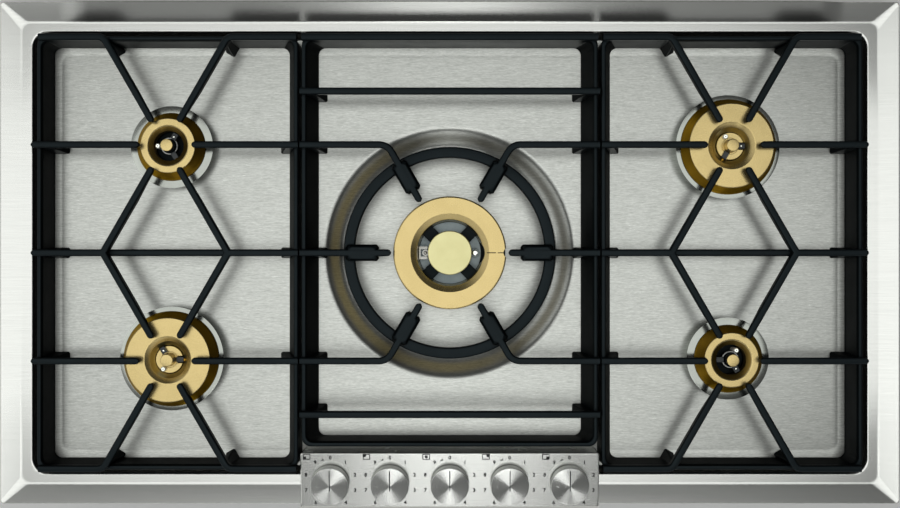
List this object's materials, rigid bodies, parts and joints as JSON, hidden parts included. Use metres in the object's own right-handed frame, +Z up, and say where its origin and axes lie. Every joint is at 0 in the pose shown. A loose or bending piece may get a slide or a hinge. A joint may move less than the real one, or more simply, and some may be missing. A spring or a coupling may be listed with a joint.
{
  "type": "gas cooktop",
  "caption": "Built-in steel gas hob with cast pan supports, brass-ringed burners, a wok burner in the middle and a raised knob panel at the front.",
  "frame": {"origin": "centre of the outline seen from above, on the flat bottom of the casing", "axes": "+X to the right as the cook stands at the knobs, +Y to the rear, +Z up"},
  "size_m": [0.904, 0.5066, 0.0956],
  "materials": {
    "plate_steel": "fine brushed grain, left to right",
    "galvanised_sheet": "plain zinc-coated sheet",
    "seal_rubber": "matt foam strip",
    "panel_steel": "fine brushed grain, left to right",
    "plated_tube": "zinc plated",
    "unit_plastic": "moulded, matt",
    "support_iron": "satin black enamel",
    "cup_aluminium": "polished",
    "ring_brass": "satin, turned",
    "cap_brass": "satin, pale",
    "igniter_ceramic": "smooth white",
    "sensor_steel": "dark, heat tinted",
    "base_iron": "matt black",
    "knob_steel": "turned top, spun grain",
    "spindle_steel": "plain",
    "plug_brass": "plain turned",
    "valve_aluminium": "die cast",
    "pipe_aluminium": "drawn tube"
  },
  "bodies": {
    "hob": {"hob_plate": "plate_steel", "lower_casing": "galvanised_sheet", "rim_seal": "seal_rubber", "control_panel": "panel_steel", "gas_manifold": "plated_tube", "gas_inlet": "plated_tube", "control_unit": "unit_plastic", "burner_cup_left_front": "cup_aluminium", "burner_ring_left_front": "ring_brass", "burner_cap_left_front": "ring_brass", "igniter_left_front": "igniter_ceramic", "flame_sensor_left_front": "sensor_steel", "burner_cup_left_rear": "cup_aluminium", "burner_ring_left_rear": "ring_brass", "burner_cap_left_rear": "ring_brass", "igniter_left_rear": "igniter_ceramic", "flame_sensor_left_rear": "sensor_steel", "burner_cup_right_rear": "cup_aluminium", "burner_ring_right_rear": "ring_brass", "burner_cap_right_rear": "ring_brass", "igniter_right_rear": "igniter_ceramic", "flame_sensor_right_rear": "sensor_steel", "burner_cup_right_front": "cup_aluminium", "burner_ring_right_front": "ring_brass", "burner_cap_right_front": "ring_brass", "igniter_right_front": "igniter_ceramic", "flame_sensor_right_front": "sensor_steel", "wok_burner_base": "base_iron", "wok_outer_ring": "ring_brass", "wok_inner_cap": "cap_brass", "wok_igniter": "igniter_ceramic", "wok_flame_sensor": "sensor_steel", "valve_body_left_front": "valve_aluminium", "pipe_left_front": "pipe_aluminium", "valve_body_left_rear": "valve_aluminium", "pipe_left_rear": "pipe_aluminium", "valve_body_wok": "valve_aluminium", "pipe_wok": "pipe_aluminium", "valve_body_right_rear": "valve_aluminium", "pipe_right_rear": "pipe_aluminium", "valve_body_right_front": "valve_aluminium", "pipe_right_front": "pipe_aluminium"},
    "valve_left_front": {"valve_plug_left_front": "plug_brass"},
    "knob_left_front": {"knob_left_front": "knob_steel", "knob_spindle_left_front": "spindle_steel"},
    "valve_left_rear": {"valve_plug_left_rear": "plug_brass"},
    "knob_left_rear": {"knob_left_rear": "knob_steel", "knob_spindle_left_rear": "spindle_steel"},
    "valve_wok": {"valve_plug_wok": "plug_brass"},
    "knob_wok": {"knob_wok": "knob_steel", "knob_spindle_wok": "spindle_steel"},
    "valve_right_rear": {"valve_plug_right_rear": "plug_brass"},
    "knob_right_rear": {"knob_right_rear": "knob_steel", "knob_spindle_right_rear": "spindle_steel"},
    "valve_right_front": {"valve_plug_right_front": "plug_brass"},
    "knob_right_front": {"knob_right_front": "knob_steel", "knob_spindle_right_front": "spindle_steel"},
    "support_left": {"pan_support_left": "support_iron"},
    "support_centre": {"pan_support_centre": "support_iron"},
    "support_right": {"pan_support_right": "support_iron"}
  },
  "joints": [
    {"name": "turn_left_front", "type": "hinge", "parent": "hob", "child": "valve_left_front", "pos_m": [-0.1187, -0.22794, 0.07965], "axis": [0, -0.1427, 0.9898], "range_deg": [0, 324]},
    {"name": "push_left_front", "type": "slide", "parent": "valve_left_front", "child": "knob_left_front", "axis": [0, 0.1427, -0.9898], "range_m": [0, 0.0025], "stiffness_N_per_m": 600, "springref_m": -0.004},
    {"name": "turn_left_rear", "type": "hinge", "parent": "hob", "child": "valve_left_rear", "pos_m": [-0.05935, -0.22794, 0.07965], "axis": [0, -0.1427, 0.9898], "range_deg": [0, 324]},
    {"name": "push_left_rear", "type": "slide", "parent": "valve_left_rear", "child": "knob_left_rear", "axis": [0, 0.1427, -0.9898], "range_m": [0, 0.0025], "stiffness_N_per_m": 600, "springref_m": -0.004},
    {"name": "turn_wok", "type": "hinge", "parent": "hob", "child": "valve_wok", "pos_m": [0, -0.22794, 0.07965], "axis": [0, -0.1427, 0.9898], "range_deg": [0, 324]},
    {"name": "push_wok", "type": "slide", "parent": "valve_wok", "child": "knob_wok", "axis": [0, 0.1427, -0.9898], "range_m": [0, 0.0025], "stiffness_N_per_m": 600, "springref_m": -0.004},
    {"name": "turn_right_rear", "type": "hinge", "parent": "hob", "child": "valve_right_rear", "pos_m": [0.05935, -0.22794, 0.07965], "axis": [0, -0.1427, 0.9898], "range_deg": [0, 324]},
    {"name": "push_right_rear", "type": "slide", "parent": "valve_right_rear", "child": "knob_right_rear", "axis": [0, 0.1427, -0.9898], "range_m": [0, 0.0025], "stiffness_N_per_m": 600, "springref_m": -0.004},
    {"name": "turn_right_front", "type": "hinge", "parent": "hob", "child": "valve_right_front", "pos_m": [0.1187, -0.22794, 0.07965], "axis": [0, -0.1427, 0.9898], "range_deg": [0, 324]},
    {"name": "push_right_front", "type": "slide", "parent": "valve_right_front", "child": "knob_right_front", "axis": [0, 0.1427, -0.9898], "range_m": [0, 0.0025], "stiffness_N_per_m": 600, "springref_m": -0.004},
    {"name": "lift_left", "type": "slide", "parent": "hob", "child": "support_left", "axis": [0, 0, 1], "range_m": [0, 0.12]},
    {"name": "lift_centre", "type": "slide", "parent": "hob", "child": "support_centre", "axis": [0, 0, 1], "range_m": [0, 0.12]},
    {"name": "lift_right", "type": "slide", "parent": "hob", "child": "support_right", "axis": [0, 0, 1], "range_m": [0, 0.12]}
  ]
}
